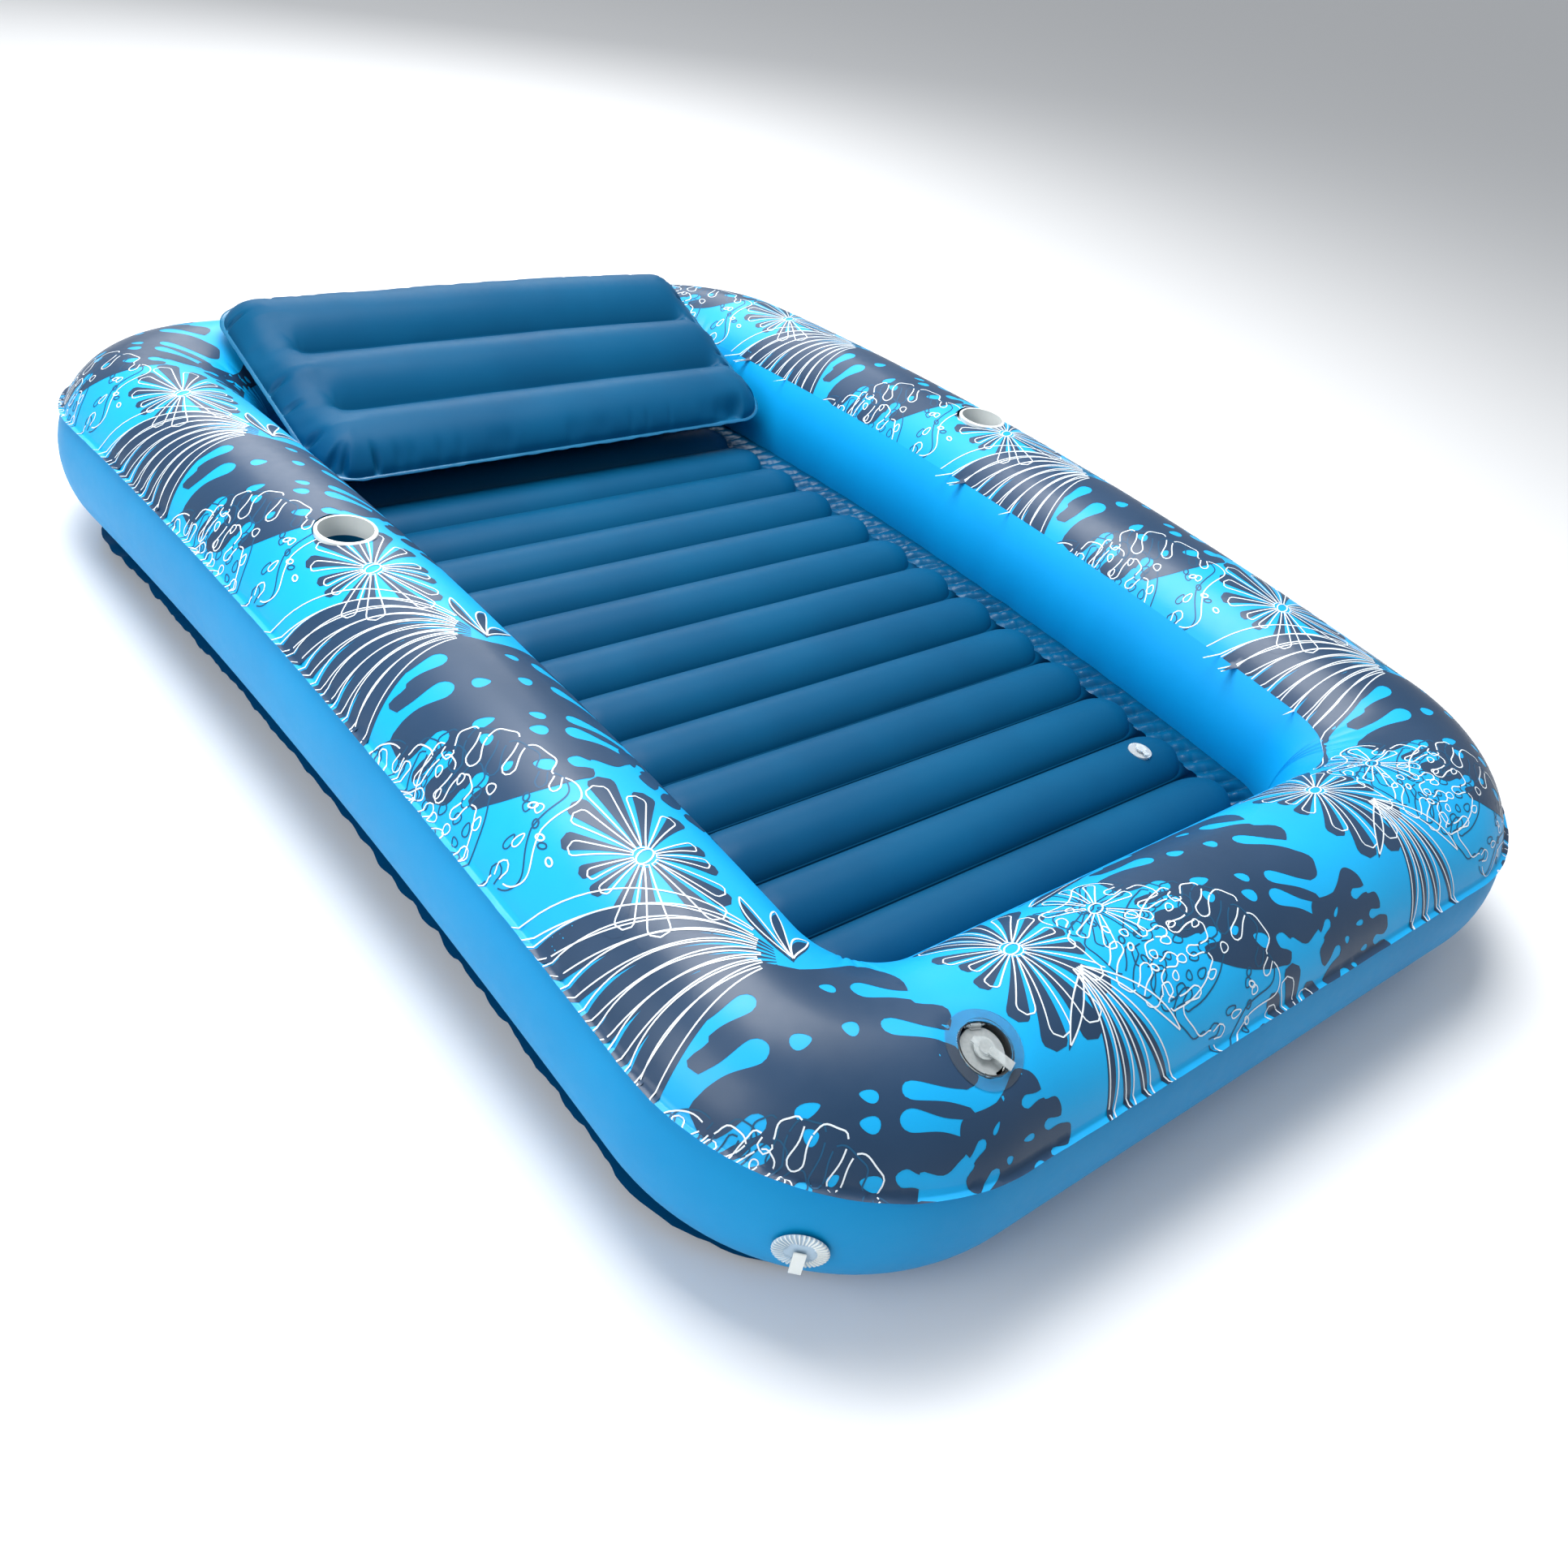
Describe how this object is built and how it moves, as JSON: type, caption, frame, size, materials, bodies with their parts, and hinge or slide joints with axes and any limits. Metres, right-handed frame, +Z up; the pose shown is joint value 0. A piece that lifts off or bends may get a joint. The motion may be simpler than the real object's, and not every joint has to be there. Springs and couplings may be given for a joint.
{
  "type": "inflatable pool float",
  "caption": "Rectangular inflatable lounge float: a ring tube round a tub with a chambered floor, a pillow that tilts, drink holders, push-in valves and a tie patch.",
  "frame": {"origin": "on the ground under the middle of the float", "axes": "+Z up, +Y lengthwise to the head end with the pillow, +X across"},
  "size_m": [1.5798, 2.2042, 0.3793],
  "materials": {
    "printed_film": "satin",
    "blue_film": "satin",
    "navy_film": "satin",
    "white_vinyl": "satin",
    "clear_vinyl": "gloss"
  },
  "bodies": {
    "float": {"ring_top_panel": "printed_film", "ring_outer_wall": "blue_film", "ring_inner_wall": "blue_film", "ring_base_panel": "navy_film", "floor_top_sheet": "navy_film", "floor_bottom_sheet": "navy_film", "floor_gusset": "navy_film", "cup_ring_left": "white_vinyl", "cup_ring_right": "white_vinyl", "cup_well_left": "navy_film", "cup_well_right": "navy_film", "ring_valve_flange": "clear_vinyl", "ring_valve_hinge_pin": "clear_vinyl", "floor_valve_flange": "clear_vinyl", "tie_patch": "white_vinyl", "pillow_hinge_strip": "navy_film"},
    "pillow": {"pillow_top_sheet": "navy_film", "pillow_bottom_sheet": "navy_film", "pillow_valve_flange": "clear_vinyl"},
    "pillow_valve_stem": {"pillow_valve_stem": "clear_vinyl"},
    "pillow_valve_cap": {"pillow_valve_cap": "clear_vinyl"},
    "pillow_valve_flap": {"pillow_valve_flap": "clear_vinyl"},
    "floor_valve_stem": {"floor_valve_stem": "clear_vinyl"},
    "floor_valve_cap": {"floor_valve_cap": "clear_vinyl"},
    "floor_valve_flap": {"floor_valve_flap": "clear_vinyl"},
    "ring_valve_door": {"ring_valve_door": "clear_vinyl"},
    "ring_valve_plug": {"ring_valve_plug": "clear_vinyl"},
    "ring_valve_flap": {"ring_valve_flap": "clear_vinyl"},
    "tie_strap": {"tie_strap": "white_vinyl"}
  },
  "joints": [
    {"name": "pillow_tilt", "type": "hinge", "parent": "float", "child": "pillow", "pos_m": [0, 0.95269, 0.35572], "axis": [-1, 0, 0], "range_deg": [0, 75]},
    {"name": "pillow_valve_stem_slide", "type": "slide", "parent": "pillow", "child": "pillow_valve_stem", "axis": [0, 0.2704, -0.9628], "range_m": [0, 0.01]},
    {"name": "pillow_valve_cap_hinge", "type": "hinge", "parent": "pillow_valve_stem", "child": "pillow_valve_cap", "pos_m": [0.2895, 0.73289, 0.2639], "axis": [0, 0.9628, 0.2704], "range_deg": [0, 150]},
    {"name": "pillow_valve_flap_hinge", "type": "hinge", "parent": "pillow_valve_stem", "child": "pillow_valve_flap", "pos_m": [0.2926, 0.72697, 0.28498], "axis": [0, -0.9628, -0.2704], "range_deg": [0, 60]},
    {"name": "floor_valve_stem_slide", "type": "slide", "parent": "float", "child": "floor_valve_stem", "axis": [0, -0.0668, 0.9978], "range_m": [0, 0.01]},
    {"name": "floor_valve_cap_hinge", "type": "hinge", "parent": "floor_valve_stem", "child": "floor_valve_cap", "pos_m": [0.34754, -0.58417, 0.16729], "axis": [-0.9703, 0.2414, 0.0162], "range_deg": [0, 150]},
    {"name": "floor_valve_flap_hinge", "type": "hinge", "parent": "floor_valve_stem", "child": "floor_valve_flap", "pos_m": [0.34679, -0.58571, 0.14524], "axis": [0.9703, -0.2414, -0.0162], "range_deg": [0, 60]},
    {"name": "ring_valve_door_hinge", "type": "hinge", "parent": "float", "child": "ring_valve_door", "pos_m": [-0.47156, -0.97512, 0.31421], "axis": [-0.9511, 0.2888, 0.11], "range_deg": [0, 95]},
    {"name": "ring_valve_plug_hinge", "type": "hinge", "parent": "ring_valve_door", "child": "ring_valve_plug", "pos_m": [-0.48671, -0.98647, 0.31342], "axis": [-0.9135, -0.3801, -0.1447], "range_deg": [0, 105]},
    {"name": "ring_valve_flap_hinge", "type": "hinge", "parent": "ring_valve_door", "child": "ring_valve_flap", "pos_m": [-0.47629, -0.98616, 0.3023], "axis": [0.9511, -0.2888, -0.11], "range_deg": [0, 60]},
    {"name": "tie_strap_swing", "type": "hinge", "parent": "float", "child": "tie_strap", "pos_m": [-0.70458, -1.0154, 0.13999], "axis": [-0.7071, 0.7043, 0.0627], "range_deg": [0, 80]}
  ]
}
